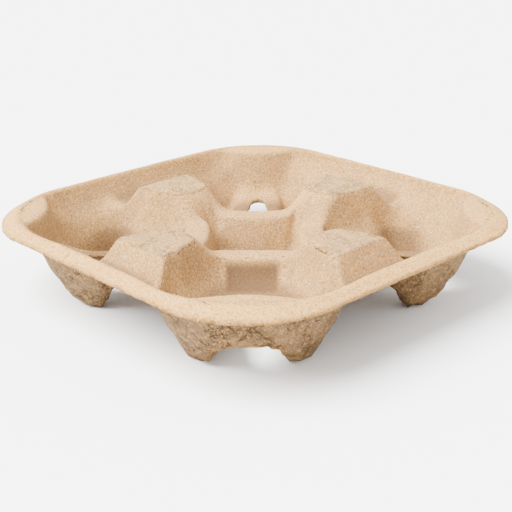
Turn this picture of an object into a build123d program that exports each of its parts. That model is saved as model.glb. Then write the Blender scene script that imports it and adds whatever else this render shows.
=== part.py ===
from build123d import *
from math import atan, degrees, sqrt, tan, cos, radians
import os

# Moulded pulp cup carrier: one drawn shell, made as the form under its smooth upper skin
# less the same form sunk by the wall. Four cup wells stand at the corners, four posts
# between them, and a square pocket in the middle.
# Sizes in mm, draft angles in degrees from the vertical, heights from the ground.
# "Along" is measured from the centre of the carrier out through a well.

# Sheet and rim
side = 215.0
corner_radius = 53.0
wall = 2.4
crest_height = 44.0
flange_width = 7.1
flange_drop = 4.2
crest_corner_radius = 50.0

# Softened edges, each a short band at a wide draft
soft_draft = 58.0
crest_soft_depth = 1.5
post_soft_depth = 1.3

# Deck that joins wells, posts and pocket
deck_height = 31.0
rim_wall_draft = 30.0
rim_wall_fillet = 5.0
saddle_radius = 2.5

# Cup wells
well_offset = 47.3
well_foot_radius = 32.5
well_draft = 21.7
cup_floor_height = 17.3
saddle_along = 36.0
flank_draft = 12.0
flank_corner_radius = 16.0

# Bulge of each well's outer wall, an upright cone that leans in from outside the corner
bulge_along = 107.5
bulge_radius = 47.5
bulge_height = 42.5
bulge_draft = 14.0
bulge_top_chamfer = 1.5

# Two feet under each well, one each side of an open arch
arch_half_width = 17.5
foot_inset = 8.0
foot_draft = 22.0
foot_corner_radius = 4.0

# Opening in each cup floor, a tongue that narrows towards the outer wall
opening_start = 69.0
opening_tip = 89.3
opening_start_half_width = 8.0
opening_tip_half_width = 4.0
opening_corner_radius = 3.5

# Posts between neighbouring wells
post_height = 42.7
post_inner = 49.6
post_outer = 73.3
post_inner_foot = 36.5
post_outer_foot = 81.0
post_inner_half_width = 11.7
post_outer_half_width = 18.9
post_edge_radius = 3.0

# Centre pocket, turned 45 degrees
pocket_half = 24.5
pocket_draft = 17.0
pocket_floor_height = 8.3
pocket_corner_radius = 6.0
pocket_fillet = 4.0

# Room for cutting solids, outside the sheet on every side
clear_below = 20.0
clear_above = 16.0
clear_side = 80.0
flange_run_out = 6.0

near_enough = 0.05

well_along = well_offset * sqrt(2)
ground_cut = -clear_below
sky = crest_height + clear_above
quarter_turns = [Rot(0, 0, angle) for angle in (0, 90, 180, 270)]
to_corner = Rot(0, 0, 45)


def lean(draft, rise):
    """How far a drafted wall moves sideways over a rise."""
    return rise * tan(radians(draft))


def sideways(draft, depth):
    """Sideways distance that puts a drafted wall a given depth away."""
    return depth / cos(radians(draft))


upper_well_radius = well_foot_radius - sideways(well_draft, wall)


def upright_cone(ground_radius, draft, low, high):
    """Cone that widens upwards, given by its radius at the ground."""
    base = ground_radius + lean(draft, low)
    top = ground_radius + lean(draft, high)
    stand = (Align.CENTER, Align.CENTER, Align.MIN)
    return Pos(0, 0, low) * Cone(base, top, high - low, align=stand)


def cavity(plan, plan_height, draft, floor_height, depth, top=sky):
    """Space over a plan that widens upwards, with its skin sunk by depth."""
    low = floor_height - depth
    grow = lean(draft, low - plan_height) + sideways(draft, depth)
    floor = Pos(0, 0, low) * offset(plan, grow, kind=Kind.ARC)
    return extrude(floor, top - low, taper=-draft)


def round_floor(space, radius):
    """Round the edge between a cavity's floor and its walls."""
    floor = space.faces().sort_by(Axis.Z)[0]
    return fillet(floor.edges(), radius)


def level(edge, height):
    """Whether an edge lies at one height from end to end."""
    return all(abs((edge @ part).Z - height) < near_enough for part in (0, 0.5, 1))


def folded(edge):
    """Middle of an edge by symmetry: its longer and shorter plan side, and its height."""
    middle = edge @ 0.5
    sides = sorted((abs(middle.X), abs(middle.Y)))
    return sides[1], sides[0], middle.Z


def flare(plan, plan_height, draft, top, soft_depth):
    """Wide mouth that takes the sharp edge off a cavity's wall just under a height."""
    low = top - soft_depth
    wide = offset(plan, lean(draft, low - plan_height), kind=Kind.ARC)
    return cavity(wide, low, soft_draft, low, 0, top + wall)


def rim_block(depth):
    """Rounded square under the rim, with its flange falling from the crest."""
    slope = degrees(atan(flange_width / flange_drop))
    drop = sideways(90 - slope, depth)
    run_out = flange_run_out if depth else 0.0
    edge_height = crest_height - flange_drop - drop - run_out / tan(radians(slope))
    edge_side = side + 2 * run_out
    crest_side = side - 2 * flange_width
    edge = Pos(0, 0, edge_height) * RectangleRounded(
        edge_side, edge_side, corner_radius + run_out
    )
    crest = Pos(0, 0, crest_height - drop) * RectangleRounded(
        crest_side, crest_side, crest_corner_radius
    )
    return extrude(edge, -(edge_height - ground_cut)) + loft([edge, crest])


def basin(depth):
    """Space above the deck, its corners running on from the wells."""
    corner = upper_well_radius + lean(well_draft, deck_height)
    plan_side = 2 * (well_offset + corner)
    plan = RectangleRounded(plan_side, plan_side, corner)
    space = cavity(plan, deck_height, rim_wall_draft, deck_height, depth)
    space = round_floor(space, rim_wall_fillet + depth)
    return space if depth else space + flare(plan, deck_height, rim_wall_draft, crest_height, crest_soft_depth)


def post(depth):
    """Post seen from its side, wide enough for the wells to cut its flanks."""
    rise = post_height - deck_height
    dig = clear_below
    inner_slope = (post_inner - post_inner_foot) / rise
    outer_slope = (post_outer_foot - post_outer) / rise
    profile = make_face(
        Polyline(
            (post_inner_foot - inner_slope * dig, deck_height - dig),
            (post_inner, post_height),
            (post_outer, post_height),
            (post_outer_foot + outer_slope * dig, deck_height - dig),
            close=True,
        )
    )
    profile = fillet(profile.vertices().sort_by(Axis.Y)[-2:], post_edge_radius)
    if depth:
        profile = offset(profile, -depth, kind=Kind.INTERSECTION)
    return extrude(Plane.XZ * profile, post_outer_foot / 2, both=True)


def flank_space(depth):
    """Space between two posts and a saddle, down to the feet, open towards the corner."""
    turn = sqrt(0.5)
    inner = ((post_inner + post_inner_half_width) * turn,
             (post_inner - post_inner_half_width) * turn)
    outer = ((post_outer + post_outer_half_width) * turn,
             (post_outer - post_outer_half_width) * turn)
    gradient = (outer[1] - inner[1]) / (outer[0] - inner[0])
    start = saddle_along - lean(flank_draft, post_height - deck_height)
    end = side
    start_half = inner[1] + gradient * (start - inner[0])
    end_half = inner[1] + gradient * (end - inner[0])
    plan = make_face(
        Polyline(
            (start, -start_half),
            (end, -end_half),
            (end, end_half),
            (start, start_half),
            close=True,
        )
    )
    plan = fillet(plan.vertices().sort_by(Axis.X)[:2], flank_corner_radius)
    space = cavity(plan, post_height, flank_draft, wall, depth)
    return space if depth else space + flare(plan, post_height, flank_draft, post_height, post_soft_depth)


def foot_space(depth):
    """Space in one foot: a drafted corner, still to be cut by the well's cone."""
    far = clear_side
    plan = make_face(
        Polyline(
            (foot_inset, arch_half_width),
            (far, arch_half_width),
            (far, far),
            (foot_inset, far),
            close=True,
        )
    )
    near = plan.vertices().sort_by(Axis.X)[:2].sort_by(Axis.Y)[0]
    plan = fillet(near, foot_corner_radius)
    inset = offset(plan, -sideways(foot_draft, wall), kind=Kind.ARC)
    return Pos(well_along, 0, 0) * cavity(inset, 0, foot_draft, wall, depth)


def well(depth):
    """One well, on the X axis: a cone between its flanks, less the plinth a cup stands on."""
    floor_height = cup_floor_height - depth
    sole_height = wall - depth
    stand = (Align.CENTER, Align.CENTER, Align.MIN)
    block = Pos(0, 0, ground_cut) * Box(2 * side, 2 * side, floor_height - ground_cut, align=stand)
    foot = foot_space(depth)
    plinth = block - foot - mirror(foot, Plane.XZ)
    radius = upper_well_radius + sideways(well_draft, depth)
    cone = upright_cone(radius, well_draft, sole_height, sky)
    return Pos(well_along, 0, 0) * cone & flank_space(depth) - plinth


def bulge(depth):
    """Cone outside the corner that pushes the well's outer wall in."""
    ground_radius = bulge_radius - sideways(bulge_draft, depth) + lean(bulge_draft, bulge_height)
    cone = upright_cone(ground_radius, -bulge_draft, ground_cut, bulge_height - depth)
    if not depth:
        cone = chamfer(cone.edges().sort_by(Axis.Z)[-1], bulge_top_chamfer)
    return Pos(bulge_along + bulge_radius, 0, 0) * cone


def centre_pocket(depth):
    """Square pocket in the middle, its walls facing the wells."""
    plan = to_corner * RectangleRounded(2 * pocket_half, 2 * pocket_half, pocket_corner_radius)
    space = cavity(plan, deck_height, pocket_draft, pocket_floor_height, depth)
    space = round_floor(space, pocket_fillet + depth)
    return space


def form(depth):
    """Everything under the skin that lies the given depth below the upper one."""
    space = basin(depth)
    for turn in quarter_turns:
        space = space - turn * post(depth)
    corner_well = to_corner * well(depth)
    for turn in quarter_turns:
        space = space + turn * corner_well
    corner_bulge = to_corner * bulge(depth)
    for turn in quarter_turns:
        space = space - turn * corner_bulge
    return rim_block(depth) - (space + centre_pocket(depth))


def on_saddle(edge):
    """Edge where a well's mouth runs across a saddle."""
    far, near, height = folded(edge)
    along = (far + near) / sqrt(2)
    return level(edge, deck_height) and abs(along - saddle_along) < 1


def opening():
    """Tongue through one cup floor, its narrow end towards the outer wall."""
    plan = make_face(
        Polyline(
            (opening_start, -opening_start_half_width),
            (opening_tip, -opening_tip_half_width),
            (opening_tip, opening_tip_half_width),
            (opening_start, opening_start_half_width),
            close=True,
        )
    )
    plan = fillet(plan.vertices(), opening_corner_radius)
    return Pos(0, 0, ground_cut) * extrude(plan, cup_floor_height + wall - ground_cut)


upper = form(0)
upper = fillet(upper.edges().filter_by(on_saddle), saddle_radius)

carrier = upper - form(wall)
for turn in quarter_turns:
    carrier = carrier - turn * to_corner * opening()

os.makedirs("parts", exist_ok=True)
export_step(carrier, "parts/cup_carrier.step")
print("cup_carrier", round(carrier.volume), "mm3", carrier.bounding_box())
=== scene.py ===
import bpy
import math
import numpy as np
from mathutils import Matrix, Vector


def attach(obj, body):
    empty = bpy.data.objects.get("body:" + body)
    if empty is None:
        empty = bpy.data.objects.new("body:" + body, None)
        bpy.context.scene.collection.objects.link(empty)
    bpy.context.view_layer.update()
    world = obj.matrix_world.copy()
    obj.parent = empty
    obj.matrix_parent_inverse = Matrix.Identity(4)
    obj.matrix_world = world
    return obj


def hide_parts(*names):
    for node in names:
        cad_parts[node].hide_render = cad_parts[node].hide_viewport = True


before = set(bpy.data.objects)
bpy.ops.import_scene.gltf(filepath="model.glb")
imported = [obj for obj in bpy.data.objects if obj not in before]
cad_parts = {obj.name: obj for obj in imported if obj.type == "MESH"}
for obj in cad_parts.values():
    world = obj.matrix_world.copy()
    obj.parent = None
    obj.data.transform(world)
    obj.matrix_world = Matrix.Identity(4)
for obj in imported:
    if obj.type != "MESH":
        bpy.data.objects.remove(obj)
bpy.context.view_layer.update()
print("frame loaded")

# Moulded pulp cup carrier. Shapes are worked out in millimetres and put into Blender in metres.
# The skins are level sets of one function, spaceAbove: its value is about the distance to the
# smooth upper skin, positive in the open space above it. The rough lower skin is the same
# function at minus the wall.

# sizes in mm, drafts in degrees from the vertical; along is measured from the middle of the
# carrier out through a well, aside from that line
carrier = {
    "side": 215.0,            # outside of the rim
    "cornerRadius": 53.2,
    "topLimit": 44.0,         # nothing stands higher than this
    "wall": 2.4,              # pulp thickness
    "crestHeight": 43.45,     # top of the rim's soft ridge
    "crestHalf": 100.36,      # centre line of the ridge
    "crestCorner": 49.95,
    "crestRound": 3.0,
    "flangeSlope": 30.6,      # degrees below level, from the ridge out to the edge
    "deckHeight": 31.0,
    "rimWallDraft": 30.0,
    "saddleDip": 0.9,         # sag of the deck between well and pocket
    "saddleDipHalf": 20.0,    # gone this far aside
    "saddleDipEnd": 52.0,     # gone this far along, and full a run before it
    "saddleDipRun": 16.0,
    "postTop": 42.7,
    "postInner": 49.6,
    "postOuter": 73.3,
    "postInnerFoot": 36.5,
    "postOuterFoot": 81.0,
    "postInnerHalf": 11.7,
    "postOuterHalf": 18.9,
    "postBow": 3.2,           # how far the middle of the inner face stands out
    "postBowHalf": 11.0,
    "postDome": 0.25,
    "postDomeLong": 13.0,
    "postDomeWide": 16.0,
    "flankDraft": 12.0,
    "wellOffset": 47.3,
    "wellRadius": 29.92,      # upper skin at the ground
    "wellDraft": 21.7,
    "seatNarrow": 8.3,        # how much tighter the half next to the saddle is
    "seatEnd": 6.0,           # that half starts to widen this far before the well's middle
    "seatRun": 14.0,
    "saddleAlong": 35.6,      # where the saddle's cup side meets the deck's height
    "saddleDraft": 21.0,
    "cupFloor": 17.3,
    "floorDip": 1.2,          # how much lower the floor lies inside of its outer end
    "floorDipEnd": 98.0,
    "floorDipRun": 12.0,
    "archHalf": 17.5,
    "footInset": 8.0,
    "footDraft": 22.0,
    "footSkin": 2.6,          # the wall measured sideways through a foot's side
    "bulgeAlong": 107.5,
    "bulgeRadius": 47.5,
    "bulgeTop": 42.6,
    "bulgeDraft": 14.0,
    "shelfSlope": 0.09,       # rise of the corner shelf towards the rim
    "hoodAlong": 103.9,       # outward fold of the wall over each arch
    "hoodInner": 94.0,
    "hoodTop": 28.0,
    "hoodSpread": 1.15,       # drop of its edges for each mm aside
    "hoodScale": 0.66,        # makes that slant a distance
    "hoodBack": 6.0,          # keeps it off the upper skin
    "pocketHalf": 23.9,
    "pocketDraft": 17.5,
    "pocketFloor": 8.3,
    "pocketBow": 2.8,         # how far the middle of each side stands in
    "pocketBowHalf": 22.0,
    "facetFar": 36.9,         # facet down each corner of the pocket: its distance at the deck
    "facetDraft": 29.0,
    "facetHalf": 6.0,
    "facetTaper": 0.30,       # how it narrows for each mm of fall
    "facetScale": 0.93,
    "tongueStart": 69.0,      # opening in each cup floor
    "tongueTip": 95.0,
    "tongueStartHalf": 8.0,
    "tongueTipHalf": 4.0,
    "tongueBlend": 5.0,
    "edgeRound": 0.9,         # how far the cut edges bulge outwards
    "edgeRagged": 0.3,        # share by which that differs along the edge
    "waveAbove": 0.10,        # unevenness of the upper skin
    "lumpsBelow": 0.2,        # unevenness of the lower skin
}

# how far apart two faces start to run into one another, mm; a second number is what the lower
# skin adds, because its outer edges are rounder by about the wall
blends = {
    "rimWallDeck": 6.0, "postEnds": 2.0, "postTop": 1.2, "postDeck": 3.0,
    "wellFlank": 4.0, "wellSaddle": (1.5, 2.0), "wellFloor": (13.0, -9.0),
    "footSides": 4.0, "footWell": (3.2, 3.0), "footSole": 2.4, "footFloor": 5.0,
    "shelf": 1.6, "hoodPoint": 1.2, "hoodFoot": 2.0, "hood": 1.0,
    "pocketCorner": 1.6, "facetSide": 0.8, "facet": 1.2, "pocketFloor": 5.0,
    "well": 1.9, "wellRimWall": 5.5, "bulge": 2.6, "hoodJoin": 1.5, "pocket": 1.8, "flange": 3.6,
}

# where the rim's wall runs down into a well the blend is wide: it starts to widen at far and near
# and is full a run further out, and it has gone again at end
wideBlend = {"far": 74.0, "farRun": 10.0, "near": 21.0, "nearRun": 9.0, "end": 64.0, "endRun": 14.0}


def degTan(a):
    return math.tan(math.radians(a))


def degCos(a):
    return math.cos(math.radians(a))


def eased(t):
    # 0 to 1 with level ends: three squares less two cubes
    return t * t * (3 - 2 * t)


def smoothStep(v, low, high):
    return eased(np.clip((v - low) / (high - low), 0, 1))


def softMin(a, b, k):
    # the lower of the two, less k/4 of a parabola where they come within k of each other
    h = np.clip(1 - np.abs(a - b) / k, 0, 1)
    return np.minimum(a, b) - h * h * k * 0.25


def softMax(a, b, k):
    # the higher of the two, blended as in softMin
    return -softMin(-a, -b, k)


def foldedPlan(x, y):
    # the form repeats in each eighth: far and near are the larger and the smaller distance from
    # the middle, along and aside the same two turned by 45 degrees
    far = np.maximum(np.abs(x), np.abs(y))
    near = np.minimum(np.abs(x), np.abs(y))
    return far, near, (far + near) * math.sqrt(0.5), (far - near) * math.sqrt(0.5)


def roundBoxOut(x, y, half, radius):
    # plan distance outside a square with rounded corners
    dx = np.abs(x) - (half - radius)
    dy = np.abs(y) - (half - radius)
    out = np.hypot(np.maximum(dx, 0), np.maximum(dy, 0))
    return out + np.minimum(np.maximum(dx, dy), 0) - radius


def spaceAbove(p, deep=0.0, c=carrier, k=blends):
    # every form is one slanted plane or cone, given as the distance to it, and they are joined
    # by softMin where both must hold and by softMax where either will do; deep is 1 for the
    # lower skin
    z = p[..., 2]
    far, near, along, aside = foldedPlan(p[..., 0], p[..., 1])
    deck = c["deckHeight"]

    # outside of the ridge: a plane that falls outwards, tangent to the ridge's round
    slope = math.radians(c["flangeSlope"])
    ridgeCentre = c["crestHeight"] - c["crestRound"]
    out = roundBoxOut(p[..., 0], p[..., 1], c["crestHalf"], c["crestCorner"])
    flange = (z - ridgeCentre) * math.cos(slope) + out * math.sin(slope) - c["crestRound"]

    # inside of the ridge: a wall leaning at its draft, tangent to the same round
    lean = math.radians(c["rimWallDraft"])
    rimWall = -out * math.cos(lean) + (z - ridgeCentre) * math.sin(lean) - c["crestRound"]
    sagAcross = np.clip(1 - (aside / c["saddleDipHalf"]) ** 2, 0, 1)
    sagAlong = np.clip((c["saddleDipEnd"] - along) / c["saddleDipRun"], 0, 1)
    basin = softMin(rimWall, z - deck + c["saddleDip"] * sagAcross * sagAlong, k["rimWallDeck"])

    # post: sloped inner and outer faces under a slightly domed top
    rise = c["postTop"] - deck
    runIn = c["postInner"] - c["postInnerFoot"]
    runOut = c["postOuterFoot"] - c["postOuter"]
    bow = c["postBow"] * (1 - (near / c["postBowHalf"]) ** 2)
    under = z - c["postTop"]
    faceIn = ((far + bow - c["postInner"]) * rise - under * runIn) / math.hypot(rise, runIn)
    faceOut = ((c["postOuter"] - far) * rise - under * runOut) / math.hypot(rise, runOut)
    middle = 0.5 * (c["postInner"] + c["postOuter"])
    round2 = ((far - middle) / c["postDomeLong"]) ** 2 + (near / c["postDomeWide"]) ** 2
    dome = c["postDome"] * (1 - round2)
    post = softMin(softMin(faceIn, faceOut, k["postEnds"]), dome - under, k["postTop"])
    space = softMin(basin, -post, k["postDeck"])

    # well: one cone from the ground up, held in between the posts' flanks and the saddle
    centre = c["wellOffset"] * math.sqrt(2)
    outward = np.clip((along - centre + c["seatEnd"]) / c["seatRun"], 0, 1)
    radius = c["wellRadius"] - c["seatNarrow"] * (1 - eased(outward)) + z * degTan(c["wellDraft"])
    cone = (radius - np.hypot(along - centre, aside)) * degCos(c["wellDraft"])
    innerAlong = (c["postInner"] + c["postInnerHalf"]) * math.sqrt(0.5)
    innerAside = (c["postInner"] - c["postInnerHalf"]) * math.sqrt(0.5)
    outerAlong = (c["postOuter"] + c["postOuterHalf"]) * math.sqrt(0.5)
    outerAside = (c["postOuter"] - c["postOuterHalf"]) * math.sqrt(0.5)
    turn = math.atan2(outerAside - innerAside, outerAlong - innerAlong)
    across = (innerAside - aside) * math.cos(turn) + (along - innerAlong) * math.sin(turn)
    flank = (across + under * degTan(c["flankDraft"])) * degCos(c["flankDraft"])
    saddle = along - c["saddleAlong"] - (deck - z) * degTan(c["saddleDraft"])
    saddle = saddle * degCos(c["saddleDraft"])
    around = softMin(cone, flank, k["wellFlank"])
    around = softMin(around, saddle, k["wellSaddle"][0] + k["wellSaddle"][1] * deep)
    dip = c["floorDip"] * np.clip((c["floorDipEnd"] - along) / c["floorDipRun"], 0, 1)
    floor = z - c["cupFloor"] + dip
    feetIn = c["footSkin"] - z * degTan(c["footDraft"])
    archSide = (aside - c["archHalf"] - feetIn) * degCos(c["footDraft"])
    inset = (along - centre - c["footInset"] - feetIn) * degCos(c["footDraft"])
    foot = softMin(archSide, inset, k["footSides"])
    foot = softMin(foot, around, k["footWell"][0] + k["footWell"][1] * deep)
    foot = softMin(foot, z - c["wall"], k["footSole"])
    seat = softMin(around, floor, k["wellFloor"][0] + k["wellFloor"][1] * deep)
    well = softMax(seat, foot, k["footFloor"])

    # bulge: an upright cone outside the corner that pushes the outer wall in, with a shelf on top
    grow = c["bulgeRadius"] + (c["bulgeTop"] - z) * degTan(c["bulgeDraft"])
    reach = np.hypot(along - c["bulgeAlong"] - c["bulgeRadius"], aside)
    shelf = c["bulgeTop"] + c["shelfSlope"] * (along - c["bulgeAlong"]) - z
    bulge = softMin((grow - reach) * degCos(c["bulgeDraft"]), shelf, k["shelf"])

    # hood: over each arch the lower skin folds out again, in a pointed facet between the feet;
    # on the upper skin it is held back out of reach
    point = (c["hoodTop"] - z - c["hoodSpread"] * aside) * c["hoodScale"]
    hood = softMin(c["hoodAlong"] - along, point, k["hoodPoint"])
    hood = softMin(hood, softMin(floor, along - c["hoodInner"], k["hoodFoot"]), k["hood"])
    hood = hood - c["hoodBack"] * (1 - deep)

    # pocket: a square turned by 45 degrees, its sides facing the wells and bowed in a little,
    # with a steep facet down each corner
    fall = deck - z
    wide = c["pocketHalf"] - fall * degTan(c["pocketDraft"])
    bowOut = c["pocketBow"] / c["pocketBowHalf"] ** 2
    sideA = wide + bowOut * np.minimum(aside, c["pocketBowHalf"]) ** 2 - along
    sideB = wide + bowOut * np.minimum(along, c["pocketBowHalf"]) ** 2 - aside
    sides = softMin(sideA, sideB, k["pocketCorner"]) * degCos(c["pocketDraft"])
    facet = (c["facetFar"] - fall * degTan(c["facetDraft"]) - far) * degCos(c["facetDraft"])
    facetEdge = (c["facetHalf"] - c["facetTaper"] * fall - near) * c["facetScale"]
    facet = softMin(facet, facetEdge, k["facetSide"])
    pocket = softMax(sides, facet, k["facet"])
    pocket = softMin(pocket, z - c["pocketFloor"], k["pocketFloor"])

    # crisp round the posts, a long smooth curve where the rim's wall runs down into a well
    w = wideBlend
    fade = np.clip((far - w["far"]) / w["farRun"], 0, 1) * np.clip((near - w["near"]) / w["nearRun"], 0, 1)
    fade = fade * np.clip((w["end"] - near) / w["endRun"], 0, 1)
    space = softMax(space, well, k["well"] + k["wellRimWall"] * (1 - deep) * eased(fade))
    space = softMin(space, -bulge, k["bulge"])
    space = softMax(space, hood, k["hoodJoin"])
    space = softMax(space, pocket, k["pocket"])
    return softMax(space, flange, k["flange"])


def steepest(func, p, step=0.05):
    # gradient from differences over a tenth of a millimetre
    g = np.empty_like(p)
    for axis in range(p.shape[-1]):
        d = np.zeros(p.shape[-1])
        d[axis] = step
        g[..., axis] = (func(p + d) - func(p - d)) / (2 * step)
    return g


def ontoSkin(p, level=0.0, passes=2, most=1.5, deep=0.0):
    # Newton steps along the gradient, none longer than most, until the level is reached
    def value(q):
        return spaceAbove(q, deep)
    for _ in range(passes):
        g = steepest(value, p)
        gg = np.maximum((g * g).sum(-1), 0.05)
        move = g * ((level - value(p)) / gg)[..., None]
        size = np.linalg.norm(move, axis=-1, keepdims=True)
        p = p + move * np.minimum(1, most / np.maximum(size, 1e-9))
    return p


def rimPoint(t, c=carrier):
    # t runs 0..8 around the outline in eighths, each eighth cut into equal lengths of its edge
    half = c["side"] / 2 - c["edgeRound"]
    r = c["cornerRadius"] - c["edgeRound"]
    straight = half - r
    total = straight + r * math.pi / 4
    eighth = np.floor(t).astype(int) % 8
    f = t - np.floor(t)
    quarter = ((eighth + 1) // 2) % 4
    s = np.where(eighth % 2 == 0, f, 1 - f) * total
    ang = np.maximum(s - straight, 0) / r
    x = np.where(s < straight, half, straight + r * np.cos(ang))
    y = np.where(s < straight, s, straight + r * np.sin(ang))
    y = np.where(eighth % 2 == 0, y, -y)
    turn = quarter * math.pi / 2
    return np.stack([x * np.cos(turn) - y * np.sin(turn), x * np.sin(turn) + y * np.cos(turn)], -1)


# the net of points that is spread over the upper skin: a square core and rings around it
net = {
    "coreCount": 19,          # points along the core's side, before it is made finer
    "ringCount": 6,
    "coreHalf": 64.0,         # mm
    "firstPasses": 60,
    "finerPasses": (50, 40, 24),
    "pull": 0.9,              # share of the way that a point moves in one pass
}


def startGrid(n, rings, coreHalf):
    # core: n by n points of a square; ring: 4n-4 points around by rings+1 out to the rim
    u = np.linspace(-1, 1, n)
    core = np.stack(np.meshgrid(u, u, indexing="ij"), -1) * coreHalf
    # each point of the square's outline goes with the rim point at the same share of its eighth
    t = np.arange(4 * (n - 1)) / (n - 1) * 2 - 1
    rim = rimPoint(t % 8)
    s = np.linspace(0, 1, rings + 1)[None, :, None]
    ring = aroundCore(core)[:, None] * (1 - s) + rim[:, None] * s
    return core, ring


def aroundCore(core):
    # outline of the core, anticlockwise from its right side's lower end
    return np.concatenate([core[-1, :-1], core[::-1][:-1, -1], core[0, ::-1][:-1], core[:-1, 0]])


def putAround(core, line):
    # the other way round: the line becomes the core's outline
    m = core.shape[0] - 1
    core[-1, :-1] = line[:m]
    core[::-1][:-1, -1] = line[m:2 * m]
    core[0, ::-1][:-1] = line[2 * m:3 * m]
    core[:-1, 0] = line[3 * m:]
    return core


def relax(core, ring, passes, pull):
    # each point moves to the middle of its neighbours in space, then back onto the skin,
    # so the grid spreads itself evenly over steep walls too
    for _ in range(passes):
        newCore = core.copy()
        newCore[1:-1, 1:-1] = (core[2:, 1:-1] + core[:-2, 1:-1] + core[1:-1, 2:] + core[1:-1, :-2]) / 4
        before = np.roll(ring, 1, 0)
        after = np.roll(ring, -1, 0)
        newRing = ring.copy()
        newRing[:, 1:-1] = (before[:, 1:-1] + after[:, 1:-1] + ring[:, :-2] + ring[:, 2:]) / 4
        m = core.shape[0] - 1
        inside = np.concatenate([core[-2, :-1], core[::-1][:-1, -2], core[1, ::-1][:-1], core[:-1, 1]])
        seam = (before[:, 0] + after[:, 0] + inside + ring[:, 1]) / 4
        corners = np.arange(4) * m
        seam[corners] = (before[corners, 0] + after[corners, 0] + ring[corners, 1]) / 3
        newRing[:, 0] = seam
        newRing[:, 1:-1] = ring[:, 1:-1] + pull * (newRing[:, 1:-1] - ring[:, 1:-1])
        core = core + pull * (newCore - core)
        ring = newRing
        flat = np.concatenate([core.reshape(-1, 3), ring[:, :-1].reshape(-1, 3)])
        flat = ontoSkin(flat, passes=1)
        core = flat[:core.size // 3].reshape(core.shape)
        ring[:, :-1] = flat[core.size // 3:].reshape(ring[:, :-1].shape)
        core = putAround(core, ring[:, 0])
    return core, ring


def finerLine(a, axis):
    # one new point half way between each two, along one axis
    a = np.moveaxis(a, axis, 0)
    out = np.empty((2 * a.shape[0] - 1,) + a.shape[1:])
    out[::2] = a
    out[1::2] = (a[:-1] + a[1:]) / 2
    return np.moveaxis(out, 0, axis)


def finer(core, ring):
    # twice as many points each way; the outermost ones go onto the rim's outline
    core = finerLine(finerLine(core, 0), 1)
    closed = np.concatenate([ring, ring[:1]], 0)
    ring = finerLine(finerLine(closed, 0)[:-1], 1)
    t = np.arange(ring.shape[0]) / (core.shape[0] - 1) * 2 - 1
    ring[:, -1, :2] = rimPoint(t % 8)
    ring[:, 0] = aroundCore(core)
    return core, ring


def heightOnSkin(xy, high=60.0, low=-5.0, halvings=30):
    # walk down from above until the skin is met: bisection on each point's own vertical
    top = np.full(xy.shape[:-1], high)
    base = np.full(xy.shape[:-1], low)
    for _ in range(halvings):
        mid = (top + base) / 2
        v = spaceAbove(np.concatenate([xy, mid[..., None]], -1))
        top = np.where(v > 0, mid, top)
        base = np.where(v > 0, base, mid)
    return (top + base) / 2


def spreadNet(n=net):
    # a coarse net set on the skin and relaxed, then made finer and relaxed again
    core, ring = startGrid(n["coreCount"], n["ringCount"], n["coreHalf"])
    core = np.concatenate([core, heightOnSkin(core)[..., None]], -1)
    ring = np.concatenate([ring, heightOnSkin(ring)[..., None]], -1)
    core, ring = relax(core, ring, n["firstPasses"], n["pull"])
    for passes in n["finerPasses"]:
        core, ring = finer(core, ring)
        ring[:, -1, 2] = heightOnSkin(ring[:, -1, :2])
        core, ring = relax(core, ring, passes, n["pull"])
    return core, ring


def gridFaces(n, rings):
    # quads of the core, then of the rings; ring 0 shares the core's outline points
    ids = np.arange(n * n).reshape(n, n)
    coreQuads = np.stack([ids[:-1, :-1], ids[1:, :-1], ids[1:, 1:], ids[:-1, 1:]], -1)
    line = aroundCore(ids)
    outer = n * n + np.arange(line.size * rings).reshape(line.size, rings)
    ringIds = np.concatenate([line[:, None], outer], 1)
    nextIds = np.roll(ringIds, -1, 0)
    ringQuads = np.stack([ringIds[:, :-1], ringIds[:, 1:], nextIds[:, 1:], nextIds[:, :-1]], -1)
    return np.concatenate([coreQuads.reshape(-1, 4), ringQuads.reshape(-1, 4)])


def tongueOut(along, aside, c=carrier):
    # plan distance outside the tongue: a long wedge whose sides run together, with round ends
    grow = (c["tongueTipHalf"] - c["tongueStartHalf"]) / (c["tongueTip"] - c["tongueStart"])
    edge = c["tongueStartHalf"] + (along - c["tongueStart"]) * grow
    side = (np.abs(aside) - edge) / math.hypot(1, grow)
    ends = np.maximum(c["tongueStart"] - along, along - c["tongueTip"])
    return softMax(side, ends, c["tongueBlend"])


def openEdges(quads, count):
    # directed edges that no neighbour runs back along
    a = quads.reshape(-1)
    b = np.roll(quads, -1, 1).reshape(-1)
    key = a.astype(np.int64) * count + b
    back = b.astype(np.int64) * count + a
    lone = ~np.isin(key, back)
    return np.stack([a[lone], b[lone]], -1)


def cutTongues(points, quads, near=4.0):
    # the quads whose middle lies in a tongue go; the points left on the cut move onto its line
    def planTongue(p):
        return tongueOut(*foldedPlan(p[..., 0], p[..., 1])[2:])
    kept = quads[planTongue(points[quads].mean(1)) >= 0]
    onCut = np.unique(openEdges(kept, len(points)))
    onCut = onCut[planTongue(points[onCut]) < near]
    p = points[onCut]
    for _ in range(6):
        g = steepest(planTongue, p)
        gg = np.maximum((g * g).sum(-1), 0.2)
        p = p - g * (planTongue(p) / gg)[:, None]
        p[:, 2] = heightOnSkin(p[:, :2])
    points = points.copy()
    points[onCut] = p
    return points, kept


def lowerSkin(upper, wall, steps=8):
    # walk down the gradient in small steps to the level of minus the wall
    p = upper
    for k in range(1, steps + 1):
        p = ontoSkin(p, level=-wall * k / steps, passes=1, most=0.6, deep=k / steps)
    return ontoSkin(p, level=-wall, passes=3, most=0.3, deep=1.0)


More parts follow.
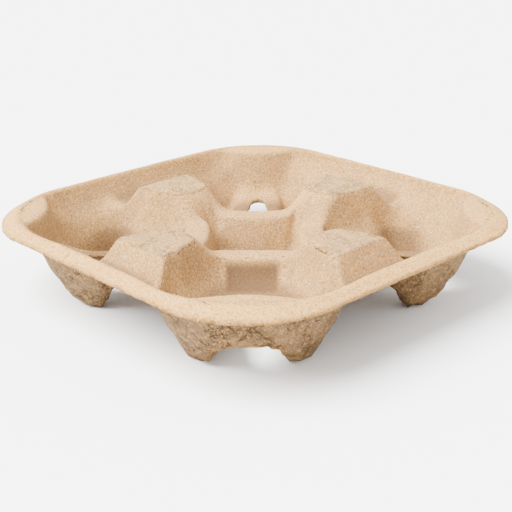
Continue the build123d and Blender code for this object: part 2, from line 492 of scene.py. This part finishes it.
def lumps(p, size, seed):
    # smooth noise, -1 to 1: a hashed value at each corner of a cubic grid, eased in between
    q = p / size + seed * 17.3
    base = np.floor(q).astype(np.int64)
    f = eased(q - base)
    total = np.zeros(p.shape[:-1])
    for corner in range(8):
        d = np.array([corner & 1, corner >> 1 & 1, corner >> 2 & 1])
        i = base + d
        # the hash: products with large odd numbers, mixed by their own upper bits
        h = (i[..., 0] * 73856093) ^ (i[..., 1] * 19349663) ^ (i[..., 2] * 83492791)
        h = ((h ^ (h >> 13)) * 1274126177) & 0xFFFFFF
        h = ((h ^ (h >> 11)) * 40503) & 0xFFFF
        total += np.prod(np.where(d == 1, f, 1 - f), -1) * (h / 32767.5 - 1)
    return total


def normalsOf(p, deep):
    # the gradient, brought to length 1
    g = steepest(lambda q: spaceAbove(q, deep), p)
    return g / np.maximum(np.linalg.norm(g, axis=-1, keepdims=True), 1e-6)


def meshObject(name, points, quads):
    mesh = bpy.data.meshes.new(name)
    mesh.from_pydata((points / 1000).tolist(), [], quads.tolist())
    mesh.validate()
    mesh.polygons.foreach_set("use_smooth", np.ones(len(mesh.polygons), bool))
    mesh.update()
    piece = bpy.data.objects.new(name, mesh)
    bpy.context.scene.collection.objects.link(piece)
    return piece


core, ring = spreadNet()
print("upper skin spread over", core.shape, ring.shape)
quads = gridFaces(core.shape[0], ring.shape[1] - 1)
upper = np.concatenate([core.reshape(-1, 3), ring[:, 1:].reshape(-1, 3)])
upper, quads = cutTongues(upper, quads)
used = np.unique(quads)
renumber = np.full(len(upper), -1)
renumber[used] = np.arange(len(used))
upper = upper[used]
quads = renumber[quads]
lower = lowerSkin(upper, carrier["wall"])
upNormal = normalsOf(upper, 0.0)
lowNormal = normalsOf(lower, 1.0)

# uneven felting: slight waves above, lumps of loose fibre below, each of two sizes in mm
wave = carrier["waveAbove"] * (lumps(upper, 11.0, 1) + 0.5 * lumps(upper, 4.0, 2))
rough = carrier["lumpsBelow"] * (lumps(lower, 5.5, 3) + 0.7 * lumps(lower, 2.3, 4))
upper = upper + upNormal * wave[:, None]
lower = lower + lowNormal * rough[:, None]

# the cut edge is round: one row of points half way through the wall, pushed outwards
count = len(upper)
cut = openEdges(quads, count)
edgeIds = np.unique(cut)
outward = np.zeros((count, 3))
tangent = upper[cut[:, 1]] - upper[cut[:, 0]]
sideways = np.cross(tangent, upNormal[cut[:, 0]])
np.add.at(outward, cut[:, 0], sideways)
np.add.at(outward, cut[:, 1], sideways)
outward = outward[edgeIds]
outward = outward / np.linalg.norm(outward, axis=1, keepdims=True)
ragged = 1 + carrier["edgeRagged"] * lumps(upper[edgeIds], 1.7, 5)
middle = 0.5 * (upper[edgeIds] + lower[edgeIds]) + outward * (carrier["edgeRound"] * ragged)[:, None]
middleOf = np.full(count, -1)
middleOf[edgeIds] = np.arange(len(edgeIds)) + 2 * count
mid0, mid1 = middleOf[cut[:, 0]], middleOf[cut[:, 1]]
bridge = np.concatenate([
    np.stack([cut[:, 1], cut[:, 0], mid0, mid1], -1),
    np.stack([mid1, mid0, cut[:, 0] + count, cut[:, 1] + count], -1),
])
points = np.concatenate([upper, lower, middle])
half = carrier["side"] / 2
points = np.clip(points, [-half, -half, 0.0], [half, half, carrier["topLimit"]])
faces = np.concatenate([quads, quads[:, ::-1] + count, bridge])
pulpSheet = meshObject("pulpSheet", points, faces)
print("sheet made,", len(faces) * 2, "triangles, highest", round(float(points[:, 2].max()), 2))

# Where the pulp differs, and where shade is painted on it. Each pair, in mm, is where a difference is still
# nil and where it is full; those ending in Over are heights from the posts' tops.
marks = {
    "flangeOut": (-1.5, 1.5),         # out from the ridge's centre line
    "postFar": 78, "postNear": 23,    # limits of a post, and of its flat top
    "postTopFar": 76, "postTopNear": 21,
    "postTopOver": (-1.0, -0.2),
    "postEdgeOver": (-2.2, -0.9),
    "postLineOver": (-1.5, -0.9), "postLineEndOver": (-0.3, -0.7),
    "crestLineOut": (-4.2, -2.2), "crestLineEnd": (0.2, -1.6),
    "shelfHeight": (41.6, 42.6), "shelfAlong": (104, 108),
    "rimOut": (0, 4),
    "archAlong": (91, 94), "archAside": (18, 13), "archTop": (18.2, 15.8), "archFoot": (6, 13),
    "wellAlong": (34, 38), "wellEnd": (98, 84), "wellHeight": (32, 16), "wellLow": (24, 17.5),
    "cupSideAside": (14.5, 11.5), "cupSideAlong": (34, 37), "cupSideEnd": (56, 46), "cupSideTop": (31, 25),
    "behindFar": (78, 82), "behindNear": (24, 18), "behindTop": (37, 32),
    "pocketAlong": (25, 23), "pocketHeight": (30, 12),
}


def marked(v, name):
    # 0 to 1 over the named pair
    return smoothStep(v, *marks[name])


x, y, z = points[:, 0], points[:, 1], points[:, 2]
far, near, along, aside = foldedPlan(x, y)
ridgeOut = roundBoxOut(x, y, carrier["crestHalf"], carrier["crestCorner"])
overPost = z - carrier["postTop"]
underside = np.zeros(len(points))
underside[count:2 * count] = 1
underside[2 * count:] = 0.5                       # the cut edge's middle row
isTop = 1 - underside
onFlange = marked(ridgeOut, "flangeOut") * (underside < 0.9)
onPost = (far < marks["postFar"]) * (near < marks["postNear"]) * isTop
onPostTop = marked(overPost, "postTopOver") * isTop
onPostTop = onPostTop * (far < marks["postTopFar"]) * (near < marks["postTopNear"])
onPostEdge = marked(overPost, "postEdgeOver") * (1 - onPostTop) * onPost
# a dark band of painted shade just under the posts' top edges
postEdgeShadeBand = marked(overPost, "postLineOver") * marked(overPost, "postLineEndOver") * onPost
# a thin line of painted shade just inside the ridge, drawn in the ochre colour
crestShadeBand = marked(ridgeOut, "crestLineOut") * marked(ridgeOut, "crestLineEnd") * isTop
onShelf = marked(z, "shelfHeight") * marked(along, "shelfAlong") * (ridgeOut < 0) * isTop

# torn: the rim's cut edge and the edge of each arch
torn = np.zeros(len(points))
torn[2 * count:] = 1
torn[edgeIds] = 0.5
torn[edgeIds + count] = 0.8
torn = torn * (0.02 + 0.98 * marked(ridgeOut, "rimOut"))
archEdge = marked(along, "archAlong") * marked(aside, "archAside")
archEdge = archEdge * marked(z, "archTop") * marked(z, "archFoot") * (underside > 0)
torn = np.maximum(torn, archEdge)

# painted shade: darkest on the saddles' cup sides, then low in the wells, behind the posts, in the pocket
shadeInWell = marked(along, "wellAlong") * marked(along, "wellEnd") * marked(z, "wellHeight") * isTop
shadeLowInWell = shadeInWell * marked(z, "wellLow")
shadeOnCupSide = marked(aside, "cupSideAside") * marked(along, "cupSideAlong") * isTop
shadeOnCupSide = shadeOnCupSide * marked(along, "cupSideEnd") * marked(z, "cupSideTop")
shadeBehindPost = marked(far, "behindFar") * marked(near, "behindNear") * marked(z, "behindTop") * isTop
shadeInPocket = marked(along, "pocketAlong") * marked(z, "pocketHeight") * isTop
paintedShade = np.maximum.reduce([0.22 * shadeInWell, 0.8 * shadeLowInWell, shadeOnCupSide, 0.75 * shadeBehindPost, 0.35 * shadeInPocket])

# Moulded paper pulp, pressed smooth above and left rough below: a dry, dull tan with dark specks,
# pale fibres and no shine
pulpLook = {
    "above": "#A27B4B",
    "pale": "#C1924F",        # flange and ridge
    "worn": "#9A7B50",        # post tops
    "ochre": "#96682A",       # stains along edges and creases
    # the lower skin's colour: partly its rough side's own tone, partly painted shade
    "below": "#6E5537",
    "fleck": "#4E3720",
    "lint": "#D8BC92",
    "paintedShade": "#483322",      # painted shade, deep in the wells
    "crack": "#2E1F12",
    "crackShare": 0.6,
    "crackDepth": 0.9,
    "grainAbove": 0.26,       # depth of the grain
    "grainBelow": 1.1,
    "fibreAbove": 0.6,        # depth of the fibres, as a share of the grain's
    "fibreBelow": 1.4,
    "wrinkleBelow": 0.9,
    "wrinkleWidth": 0.034,    # share of a wrinkle pattern's range
    "roughness": 0.95,
    "specular": 0.2,
}

# the shares that the material reads at each point
roughHere = np.maximum.reduce([underside, 0.7 * torn, 0.35 * onPostTop])
smoothHere = 1 - roughHere
shares = {
    "underside": underside,
    "flangePale": 0.85 * onFlange,
    "shelfPale": 0.35 * onShelf,
    "postWorn": onPostTop,
    "postEdgePale": onPostEdge,
    "stained": 0.5 * onPostEdge + 0.42 * onFlange,
    # painted shade in the hollows
    "paintedShade": 0.85 * paintedShade,
    "paintedCrestShade": 0.8 * crestShadeBand,
    "paintedPostEdgeShade": 0.8 * postEdgeShadeBand,
    # fewer pale specks where shade is painted
    "paleGrain": 0.42 - 0.38 * paintedShade,
    "paleLint": 0.34 - 0.32 * paintedShade,
    "tornBrown": 0.6 * torn,
    "wrinkled": 0.85 * underside + 0.25 * onPostTop,
    "grainDepth": pulpLook["grainAbove"] * smoothHere + pulpLook["grainBelow"] * roughHere,
    "fibreDepth": (pulpLook["fibreAbove"] * pulpLook["grainAbove"] * smoothHere
                   + pulpLook["fibreBelow"] * pulpLook["grainBelow"] * roughHere),
    "wrinkleDepth": -pulpLook["wrinkleBelow"] * pulpLook["grainBelow"] * roughHere,
}
for name, values in shares.items():
    layer = pulpSheet.data.attributes.new(name, "FLOAT", "POINT")
    layer.data.foreach_set("value", values.astype(np.float32))


def hexLinear(text):
    # sRGB hex to linear light
    v = np.array([int(text[i:i + 2], 16) / 255 for i in (1, 3, 5)])
    v = np.where(v <= 0.04045, v / 12.92, ((v + 0.055) / 1.055) ** 2.4)
    return (*v.tolist(), 1.0)


pulp = bpy.data.materials.new("mouldedPaperPulp")
pulp.use_nodes = True
tree = pulp.node_tree
shader = tree.nodes["Principled BSDF"]


def addNode(kind, settings, sockets, output=0):
    # one node with its settings; each socket gets a constant or another node's output
    node = tree.nodes.new("ShaderNode" + kind)
    for key, value in settings.items():
        setattr(node, key, value)
    for key, value in sockets.items():
        if isinstance(value, bpy.types.NodeSocket):
            tree.links.new(value, node.inputs[key])
        else:
            node.inputs[key].default_value = value
    return node.outputs[output]


times, plus, less = {"operation": "MULTIPLY"}, {"operation": "ADD"}, {"operation": "SUBTRACT"}
timesPlus, larger = {"operation": "MULTIPLY_ADD"}, {"operation": "MAXIMUM"}
easing = {"interpolation_type": "SMOOTHSTEP"}

place = addNode("TexCoord", {}, {}, "Object")
inMm = addNode("VectorMath", {"operation": "SCALE"}, {0: place, "Scale": 1000.0})
# wandering by up to about a millimetre gives wrinkles and cracks their crooked outlines
wander = addNode("TexNoise", {}, {"Vector": inMm, "Scale": 0.45, "Detail": 3.0}, "Color")
wanderOff = addNode("VectorMath", timesPlus, {0: wander, 1: (2.2, 2.2, 2.2), 2: (-1.1, -1.1, -1.1)})
crookedMm = addNode("VectorMath", plus, {0: inMm, 1: wanderOff})

# noise patterns: size in mm, detail, roughness and where they are read; a fleck in the photo is
# 0.3 to 0.5 mm, drawn at about 0.8 mm so that it still shows in the render
patterns = {}
for name, size, detail, uneven, where in (
        ("cloud", 14.0, 3.0, 0.5, inMm),
        ("grain", 1.1, 4.0, 0.7, inMm),
        ("fleck", 0.8, 1.0, 0.5, inMm),
        ("lint", 0.95, 1.0, 0.5, crookedMm),
        ("fibre", 2.6, 3.0, 0.6, crookedMm),
        ("stain", 5.0, 3.0, 0.65, crookedMm),
        ("vein", 4.2, 5.0, 0.62, crookedMm),
        ("patch", 8.0, 2.0, 0.5, inMm)):
    patterns[name] = addNode("TexNoise", {}, {"Vector": where, "Scale": 1 / size, "Detail": detail,
                                              "Roughness": uneven}, "Fac")

# wrinkles: thin crooked lines where the vein pattern passes its middle, in patches
offMiddle = addNode("Math", less, {0: patterns["vein"], 1: 0.5})
offMiddle = addNode("Math", {"operation": "ABSOLUTE"}, {0: offMiddle})
veinLine = addNode("MapRange", easing, {"Value": offMiddle, "From Min": pulpLook["wrinkleWidth"],
                                        "From Max": 0.0}, "Result")
inPatch = addNode("MapRange", easing, {"Value": patterns["patch"], "From Min": 0.40,
                                       "From Max": 0.60}, "Result")
patterns["wrinkle"] = addNode("Math", times, {0: veinLine, 1: inPatch})

# coats of colour, one over the other: the colour, the share it is read from, the pattern, and
# the pattern's values where the coat starts and is full, with its share when full
coats = (
    ("pale", None, "cloud", 0.35, 0.7, 0.35),
    ("pale", "flangePale", None, None, None, None),
    ("pale", "shelfPale", None, None, None, None),
    ("worn", "postWorn", "fibre", 0.2, 0.75, 1.0),
    ("pale", "postEdgePale", "fibre", 0.35, 0.6, 1.0),
    ("ochre", "stained", "stain", 0.55, 0.72, 1.0),
    # painted shade in the hollows
    ("paintedShade", "paintedShade", None, None, None, None),
    # painted shade along the inside of the ridge
    ("ochre", "paintedCrestShade", "fibre", 0.3, 0.65, 1.0),
    # painted shade along the posts' top edges, in the painted-shade colour
    ("paintedShade", "paintedPostEdgeShade", "fibre", 0.25, 0.6, 1.0),
    ("fleck", None, "grain", 0.45, 0.72, 0.5),
    ("lint", "paleGrain", "grain", 0.5, 0.28, 1.0),
    # the lower skin darkened: partly its own tone, partly painted shade
    ("below", "underside", None, None, None, None),
    ("above", "underside", "fibre", 0.4, 0.75, 0.6),
    ("ochre", "tornBrown", None, None, None, None),
    ("fleck", None, "fleck", 0.60, 0.70, 0.6),
    ("lint", "paleLint", "lint", 0.60, 0.72, 1.0),
    ("fleck", "wrinkled", "wrinkle", None, None, None),
)
colour = hexLinear(pulpLook["above"])
for other, share, pattern, start, full, most in coats:
    amount = patterns.get(pattern)
    if most is not None:
        amount = addNode("MapRange", easing, {"Value": amount, "From Min": start, "From Max": full,
                                              "To Max": most}, "Result")
    if share is not None:
        here = addNode("Attribute", {"attribute_name": share}, {}, "Fac")
        amount = here if amount is None else addNode("Math", times, {0: amount, 1: here})
    colour = addNode("Mix", {"data_type": "RGBA"}, {0: amount, 6: colour, 7: hexLinear(pulpLook[other])}, 2)

# height of the surface: each pattern times its depth at this point
depth = 0.0
for share, pattern in (("grainDepth", "grain"), ("fibreDepth", "fibre"), ("wrinkleDepth", "wrinkle")):
    here = addNode("Attribute", {"attribute_name": share}, {}, "Fac")
    depth = addNode("Math", timesPlus, {0: here, 1: patterns[pattern], 2: depth})


def crackLine(start, end, width):
    # 1 on a crooked line from start to end, 0 a width away from it, thinner towards both ends
    span = Vector(end) - Vector(start)
    rel = addNode("VectorMath", less, {0: crookedMm, 1: start})
    along = addNode("VectorMath", {"operation": "DOT_PRODUCT"}, {0: rel, 1: span / span.length_squared},
                    "Value")
    share = addNode("Clamp", {}, {"Value": along})
    foot = addNode("VectorMath", {"operation": "SCALE"}, {0: span, "Scale": share})
    gap = addNode("VectorMath", {"operation": "DISTANCE"}, {0: rel, 1: foot}, "Value")
    rest = addNode("Math", less, {0: 1.0, 1: share})
    ends = addNode("Math", times, {0: share, 1: rest})
    # a quarter of the width at the ends, all of it half way
    reach = addNode("Math", timesPlus, {0: ends, 1: 3.0 * width, 2: 0.25 * width})
    gap = addNode("Math", {"operation": "DIVIDE"}, {0: gap, 1: reach})
    return addNode("MapRange", easing, {"Value": gap, "From Min": 1.0, "From Max": 0.35}, "Result")


# cracks and folds seen in the photo, mm: start, end and width
cracks = [
    # round the posts' tops
    ((18.4, -70.5, 41.0), (15.2, -59.0, 41.2), 0.45), ((15.2, -59.0, 41.2), (11.2, -48.6, 41.2), 0.4),
    ((54.8, -13.6, 41.0), (70.4, -18.1, 41.3), 0.5), ((70.4, -18.1, 41.3), (74.5, -17.2, 40.8), 0.4),
    # along the front saddle
    ((22.0, -27.5, 29.7), (26.6, -23.2, 29.7), 0.5), ((34.1, -15.0, 30.3), (36.6, -13.6, 30.6), 0.45),
    ((13.5, -40.2, 31.1), (16.4, -33.6, 30.0), 0.4),
    # across the left rim
    ((-16.0, -101.4, 43.2), (-15.0, -107.0, 40.0), 0.3),
    # over the front arch
    ((72.2, -78.0, 19.5), (75.3, -75.0, 23.6), 0.9), ((75.3, -75.0, 23.6), (76.3, -74.6, 27.0), 0.8),
    ((76.3, -74.6, 27.0), (79.8, -70.6, 22.7), 0.9), ((79.8, -70.6, 22.7), (83.1, -64.5, 16.7), 0.9),
    # over the back well's opening
    ((-76.0, 70.1, 24.8), (-71.6, 74.3, 24.8), 0.4), ((-73.9, 71.5, 23.3), (-69.8, 68.0, 18.6), 0.4),
    # at the edges of the corner shelves
    ((-94.3, -71.6, 43.2), (-87.4, -81.1, 43.3), 0.6), ((-87.4, -81.1, 43.3), (-80.8, -88.3, 43.3), 0.5),
    ((74.2, 91.5, 43.2), (87.5, 83.6, 43.3), 0.6), ((87.5, 83.6, 43.3), (93.6, 75.5, 43.2), 0.4),
    ((68.3, -96.3, 43.2), (75.7, -95.1, 42.9), 0.35),
]
cracked = 0.0
for start, end, width in cracks:
    cracked = addNode("Math", larger, {0: crackLine(start, end, width), 1: cracked})
amount = addNode("Math", times, {0: cracked, 1: pulpLook["crackShare"]})
colour = addNode("Mix", {"data_type": "RGBA"}, {0: amount, 6: colour, 7: hexLinear(pulpLook["crack"])}, 2)
depth = addNode("Math", timesPlus, {0: cracked, 1: -pulpLook["crackDepth"], 2: depth})

shader.inputs["Roughness"].default_value = pulpLook["roughness"]
shader.inputs["Specular IOR Level"].default_value = pulpLook["specular"]
bump = addNode("Bump", {}, {"Height": depth, "Strength": 1.0, "Distance": 0.001})     # depth in mm
tree.links.new(colour, shader.inputs["Base Color"])
tree.links.new(bump, shader.inputs["Normal"])
pulpSheet.data.materials.append(pulp)
print("pulp material made")

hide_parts("cup_carrier")
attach(pulpSheet, "root")

# Studio: pale floor, soft white light all round and a broad soft key from the front left
studio = {
    "floorColour": "#FFFFFF",
    "floorHalf": 6.0,         # metres
    "worldStrength": 2.2,
    "keyStrength": 17.5,
    "keySpread": 50.0,        # degrees across
    "keyFrom": (-0.42, -0.93, 1.5),
}
reach = studio["floorHalf"]
floorMesh = bpy.data.meshes.new("studioFloor")
floorMesh.from_pydata([(-reach, -reach, 0), (reach, -reach, 0), (reach, reach, 0), (-reach, reach, 0)],
                      [], [(0, 1, 2, 3)])
floor = bpy.data.objects.new("studioFloor", floorMesh)
bpy.context.scene.collection.objects.link(floor)
floorPaper = bpy.data.materials.new("mattWhitePaper")
floorPaper.use_nodes = True
paperShader = floorPaper.node_tree.nodes["Principled BSDF"]
paperShader.inputs["Base Color"].default_value = hexLinear(studio["floorColour"])
paperShader.inputs["Roughness"].default_value = 1.0
floorMesh.materials.append(floorPaper)

world = bpy.data.worlds.new("softStudio")
bpy.context.scene.world = world
world.use_nodes = True
sky = world.node_tree.nodes["Background"]
sky.inputs["Color"].default_value = (1, 1, 1, 1)
sky.inputs["Strength"].default_value = studio["worldStrength"]

keyLight = bpy.data.lights.new("softKey", "SUN")
keyLight.energy = studio["keyStrength"]
keyLight.angle = math.radians(studio["keySpread"])
key = bpy.data.objects.new("softKey", keyLight)
bpy.context.scene.collection.objects.link(key)
key.rotation_euler = Vector(studio["keyFrom"]).to_track_quat("Z", "Y").to_euler()

# Camera at the photograph's angle, found by fitting the rim, the posts and the feet:
# focal length and picture width in pixels, distance in mm, the rest in degrees
view = {
    "focal": 1048.9, "frame": 512.0,
    "distance": 554.43, "elevation": 23.14, "azimuth": 46.76,
    "roll": 0.64, "pan": 0.087, "tilt": -1.65,
    "sensor": 36.0,           # mm
    "nearest": 0.01,          # metres
}


def cameraMatrix(v):
    # look at the origin from the given angles, then turn by pan, tilt and roll
    e, a = math.radians(v["elevation"]), math.radians(v["azimuth"])
    back = np.array([math.sin(a) * math.cos(e), -math.cos(a) * math.cos(e), math.sin(e)])
    right = np.array([math.cos(a), math.sin(a), 0])
    up = np.cross(back, right)
    p, t, r = (math.radians(v[turn]) for turn in ("pan", "tilt", "roll"))
    panTurn = np.array([[math.cos(p), 0, math.sin(p)], [0, 1, 0], [-math.sin(p), 0, math.cos(p)]])
    tiltTurn = np.array([[1, 0, 0], [0, math.cos(t), -math.sin(t)], [0, math.sin(t), math.cos(t)]])
    rollTurn = np.array([[math.cos(r), -math.sin(r), 0], [math.sin(r), math.cos(r), 0], [0, 0, 1]])
    axes = rollTurn @ tiltTurn @ panTurn @ np.stack([right, up, back])
    full = np.eye(4)
    full[:3, :3] = axes.T
    full[:3, 3] = back * v["distance"] / 1000
    return Matrix(full.tolist())


lens = bpy.data.cameras.new("photoCamera")
lens.sensor_width = view["sensor"]
lens.lens = view["sensor"] * view["focal"] / view["frame"]
lens.clip_start = view["nearest"]
camera = bpy.data.objects.new("photoCamera", lens)
bpy.context.scene.collection.objects.link(camera)
camera.matrix_world = cameraMatrix(view)
bpy.context.scene.camera = camera
print("studio ready")
